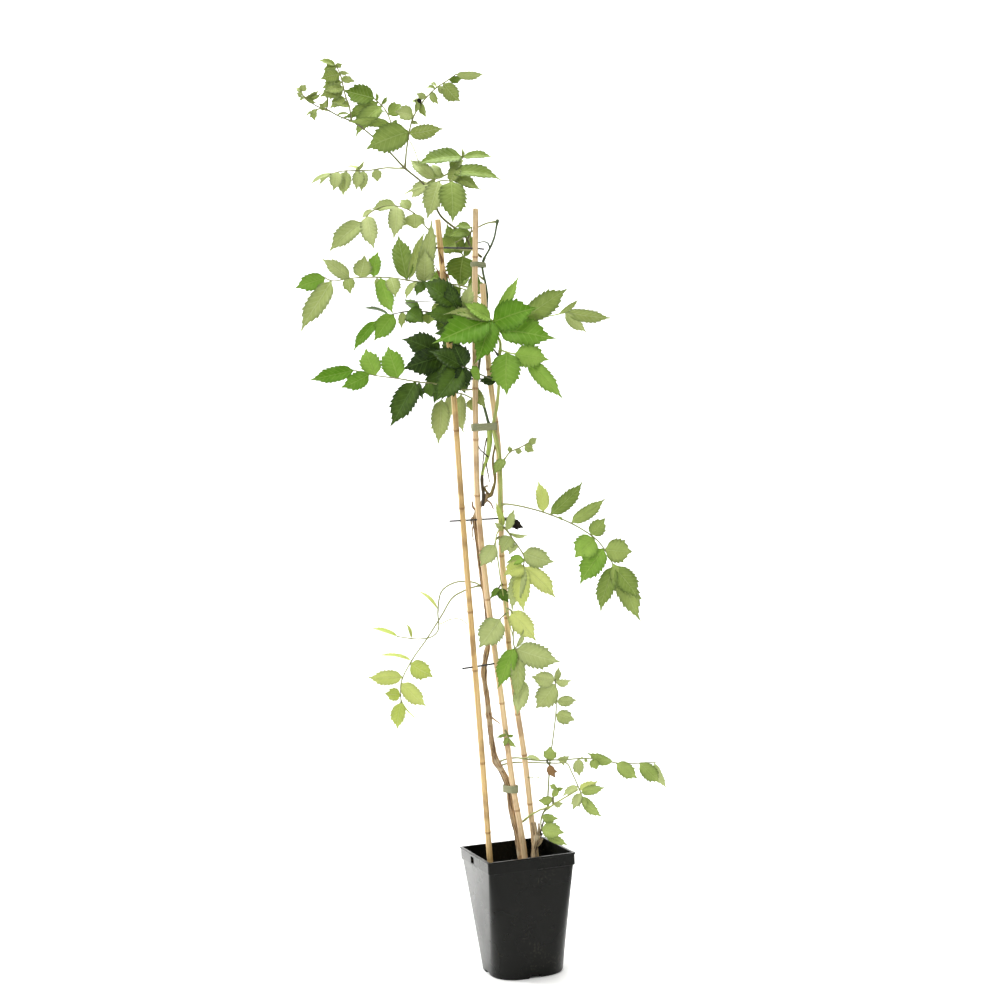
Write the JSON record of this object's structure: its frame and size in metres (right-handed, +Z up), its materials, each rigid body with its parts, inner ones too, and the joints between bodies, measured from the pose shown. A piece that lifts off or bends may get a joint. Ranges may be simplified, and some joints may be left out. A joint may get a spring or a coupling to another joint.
{
  "type": "potted trumpet vine",
  "caption": "Climbing trumpet vine in a tall square nursery pot, tied up to bamboo canes, with arching shoots of toothed leaflets.",
  "frame": {"origin": "centre of the pot's underside, on the floor", "axes": "+Z up along the canes; -Y is the front of the plant; +X is to the right seen from the front"},
  "size_m": [0.5673, 0.1963, 1.4972],
  "materials": {
    "pot": "satin black injection-moulded plastic",
    "soil": "loose dark peat compost",
    "bamboo_gold": "smooth golden bamboo",
    "bamboo_tan": "smooth pinkish tan bamboo",
    "wire": "black coated wire",
    "tie": "matt grey-green tape",
    "bark": "rough brown bark",
    "stem_dark": "smooth dark green stem",
    "stem_green": "smooth yellow-green stem",
    "leaf_light": "satin light green leaf",
    "leaf_lime": "satin lime leaf",
    "leaf_vivid": "satin vivid green leaf",
    "leaf_middle": "satin green leaf",
    "leaf_dark": "satin dark green leaf",
    "leaf_dead": "shrivelled near-black leaf",
    "leaf_brown": "dry brown leaf"
  },
  "bodies": {
    "root": {"pot": "pot", "soil": "soil", "cane_left": "bamboo_gold", "cane_middle": "bamboo_tan", "cane_right": "bamboo_tan", "wire_low": "wire", "wire_middle": "wire", "wire_high": "wire", "wire_top": "wire", "tie_low": "tie", "tie_middle": "tie", "tie_top": "tie", "stem_woody": "bark", "rootstock": "bark", "stem_pruned": "stem_dark", "shoot_green": "stem_green", "shoot_top": "stem_green", "shoot_low": "stem_green", "frond_crest": "leaf_light", "frond_tip": "leaf_lime", "frond_hook": "leaf_light", "frond_fan": "leaf_middle", "frond_arching": "leaf_light", "frond_hanging": "leaf_light", "frond_upper_right": "leaf_light", "frond_upper_front": "leaf_light", "frond_upper_left": "leaf_light", "leaf_bent": "leaf_middle", "frond_crown": "leaf_middle", "frond_crown_top": "leaf_middle", "frond_crown_back": "leaf_middle", "frond_side_left": "leaf_light", "frond_mid_left": "leaf_dark", "frond_dark_upper": "leaf_dark", "frond_dark_lower": "leaf_dark", "frond_dark_front": "leaf_dark", "frond_lower_left": "leaf_middle", "frond_pale_hanging": "leaf_lime", "frond_vivid_left": "leaf_vivid", "frond_vivid_right": "leaf_vivid", "frond_vivid_low": "leaf_vivid", "frond_small_pale": "leaf_light", "frond_right": "leaf_middle", "frond_thin_upper": "leaf_lime", "frond_thin_lower": "leaf_lime", "frond_mid_upper": "leaf_light", "leaf_pale_left": "leaf_light", "leaf_dark_left": "leaf_dark", "frond_mid_lower": "leaf_light", "leaf_pale_low": "leaf_light", "frond_mid_right": "leaf_light", "frond_low_back": "leaf_middle", "frond_low_front": "leaf_middle", "frond_rim": "leaf_middle", "frond_low_small": "leaf_middle", "leaves_young": "leaf_middle", "leaf_withered_dark": "leaf_dead", "leaf_withered_brown": "leaf_brown"}
  },
  "joints": []
}
